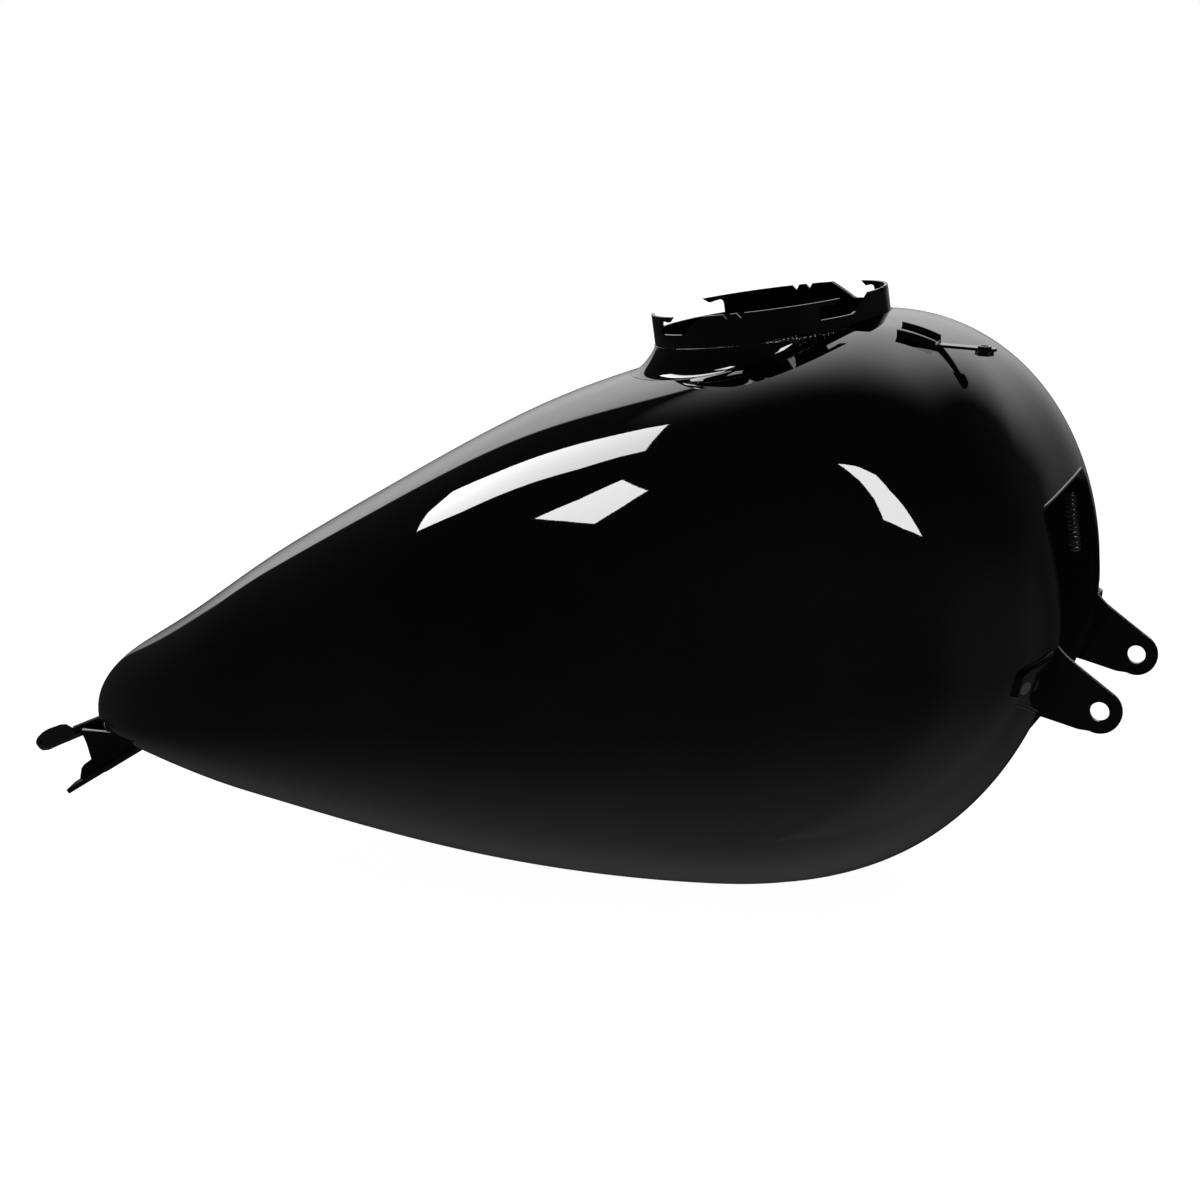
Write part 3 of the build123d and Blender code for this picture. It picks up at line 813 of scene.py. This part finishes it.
def floor_material():
    material = bpy.data.materials.new("pale_floor")
    material.use_nodes = True
    tree = material.node_tree
    tree.nodes.clear()
    out = tree.nodes.new("ShaderNodeOutputMaterial")
    both = tree.nodes.new("ShaderNodeAddShader")
    glow = tree.nodes.new("ShaderNodeEmission")
    glow.inputs["Color"].default_value = (1.0, 1.0, 1.0, 1.0)
    glow.inputs["Strength"].default_value = 0.985
    plain = tree.nodes.new("ShaderNodeBsdfDiffuse")
    plain.inputs["Color"].default_value = (0.8, 0.8, 0.8, 1.0)
    tree.links.new(glow.outputs[0], both.inputs[0])
    tree.links.new(plain.outputs[0], both.inputs[1])
    tree.links.new(both.outputs[0], out.inputs["Surface"])
    return material


floor_z = cad_low.z / MM - 0.3
floor = new_object(
    "studio_floor",
    [(-9000, -9000, floor_z), (9000, -9000, floor_z), (9000, 9000, floor_z), (-9000, 9000, floor_z)],
    [(0, 1, 2, 3)],
    floor_material(),
)
floor.visible_glossy = False


def light_card(name, outline, strength):
    """A flat lamp of a given outline, 1.5 m up, seen only in the gloss."""
    material = bpy.data.materials.new(name)
    material.use_nodes = True
    tree = material.node_tree
    tree.nodes.clear()
    out = tree.nodes.new("ShaderNodeOutputMaterial")
    glow = tree.nodes.new("ShaderNodeEmission")
    glow.inputs["Strength"].default_value = strength
    tree.links.new(glow.outputs[0], out.inputs["Surface"])
    card = new_object(name, [(x, y, 1500.0) for x, y in outline], [tuple(range(len(outline)))], material)
    card.visible_camera = False
    card.visible_shadow = False
    card.visible_diffuse = False


CURVED_CARD = [
    (-2234, 550), (-2268, 979), (-2217, 1265), (-1881, 992), (-1601, 809), (-1415, 679),
    (-1285, 565), (-1222, 508), (-1172, 440), (-1164, 254), (-1162, 66), (-1219, 100),
    (-1324, 122), (-1496, 206), (-1716, 291), (-1938, 371), (-2098, 466),
]
SIDE_CARD = [
    (-1483, -505), (-1313, -427), (-1192, -309), (-1139, -613), (-1217, -776), (-1317, -946),
    (-1383, -735),
]
FRONT_CARD = [
    (-396, -997), (-259, -1065), (-56, -1244), (178, -1591), (521, -2028), (1006, -2670),
    (1725, -3612), (909, -3071), (344, -2556), (37, -1811), (-190, -1351),
]
light_card("card_curved", CURVED_CARD, 11.5)
light_card("card_side", SIDE_CARD, 17.5)
light_card("card_front", FRONT_CARD, 19.5)


class Sky:
    """World nodes: white to the camera, a dark studio with one soft window to everything else."""

    def __init__(self):
        world = bpy.data.worlds.new("studio")
        world.use_nodes = True
        bpy.context.scene.world = world
        self.tree = world.node_tree
        self.tree.nodes.clear()

    def add(self, kind, **values):
        node = self.tree.nodes.new(kind)
        for key, value in values.items():
            setattr(node, key, value)
        return node

    def put(self, value, socket):
        if isinstance(value, (int, float)):
            socket.default_value = value
        else:
            self.tree.links.new(value, socket)

    def math(self, operation, a, b=0.0):
        node = self.add("ShaderNodeMath", operation=operation)
        self.put(a, node.inputs[0])
        self.put(b, node.inputs[1])
        return node.outputs[0]

    def step(self, value, start, end):
        """Smooth step from 0 at start to 1 at end; either may be the larger."""
        node = self.add("ShaderNodeMapRange", interpolation_type="SMOOTHSTEP")
        self.put(value, node.inputs["Value"])
        self.put(start, node.inputs["From Min"])
        self.put(end, node.inputs["From Max"])
        return node.outputs["Result"]


def studio_world():
    sky = Sky()
    place = sky.add("ShaderNodeTexCoord").outputs["Generated"]
    split = sky.add("ShaderNodeSeparateXYZ")
    sky.put(place, split.inputs[0])
    x, y, z = split.outputs
    degrees = 180 / math.pi
    around = sky.math("MULTIPLY", sky.math("ARCTAN2", x, y), degrees)
    height = sky.math("MULTIPLY", sky.math("ARCSINE", z), degrees)

    # The window's left edge leans out above 38 degrees and in below 5, and is crisp lower down.
    # It fades slowly to the right and over the top.
    above = sky.math("MAXIMUM", sky.math("SUBTRACT", height, 38.0), 0.0)
    below = sky.math("MAXIMUM", sky.math("SUBTRACT", 5.0, height), 0.0)
    lean = sky.math("SUBTRACT", sky.math("MULTIPLY", below, 0.55), sky.math("MULTIPLY", above, 0.9))
    edge = sky.math("ADD", lean, -38.0)
    blur = sky.math("ADD", sky.math("MULTIPLY", above, 0.9), 0.6)
    left = sky.step(around, sky.math("SUBTRACT", edge, blur), sky.math("ADD", edge, blur))
    far = sky.math("SUBTRACT", 0.43, sky.math("MULTIPLY", sky.step(height, 12.0, 0.0), 0.1))
    right = sky.step(x, far, -0.05)
    top = sky.math("POWER", sky.step(y, 0.0, 0.68), 1.6)
    bottom = sky.step(height, -12.0, 14.0)
    window = sky.math("MULTIPLY", sky.math("MULTIPLY", left, right), sky.math("MULTIPLY", top, bottom))
    level = sky.math("ADD", sky.math("MULTIPLY", sky.step(height, 12.0, 28.0), 0.65), 1.4)
    window = sky.math("MULTIPLY", window, level)

    ground = sky.math("MULTIPLY", sky.step(height, -15.0, -75.0), 0.21)
    side = sky.math("MULTIPLY", sky.step(around, 30.0, 65.0), sky.step(around, 150.0, 120.0))
    side = sky.math("MULTIPLY", sky.math("MULTIPLY", side, sky.step(height, 15.0, -17.0)), 0.075)
    room = sky.math("ADD", sky.math("ADD", ground, side), 0.025)
    total = sky.math("ADD", window, room)

    dark = sky.add("ShaderNodeBackground")
    sky.put(total, dark.inputs["Strength"])
    white = sky.add("ShaderNodeBackground")
    white.inputs["Color"].default_value = (1.0, 1.0, 1.0, 1.0)
    mix = sky.add("ShaderNodeMixShader")
    sky.put(sky.add("ShaderNodeLightPath").outputs["Is Camera Ray"], mix.inputs[0])
    sky.put(dark.outputs[0], mix.inputs[1])
    sky.put(white.outputs[0], mix.inputs[2])
    out = sky.add("ShaderNodeOutputWorld")
    sky.put(mix.outputs[0], out.inputs["Surface"])


studio_world()

CAMERA_AIM = Vector((-312.0, 0.0, 28.0)) * MM
CAMERA_TURN = math.radians(17.0)
CAMERA_RISE = math.radians(12.4)
CAMERA_RANGE = 2.0

camera_data = bpy.data.cameras.new("camera")
camera_data.lens = 100.0
camera_data.sensor_width = 36.0
camera = bpy.data.objects.new("camera", camera_data)
bpy.context.scene.collection.objects.link(camera)
away = Vector((
    math.sin(CAMERA_TURN) * math.cos(CAMERA_RISE),
    -math.cos(CAMERA_TURN) * math.cos(CAMERA_RISE),
    math.sin(CAMERA_RISE),
))
camera.location = CAMERA_AIM + away * CAMERA_RANGE
camera.rotation_euler = (-away).to_track_quat("-Z", "Y").to_euler()
bpy.context.scene.camera = camera
bpy.context.scene.view_settings.view_transform = "Standard"
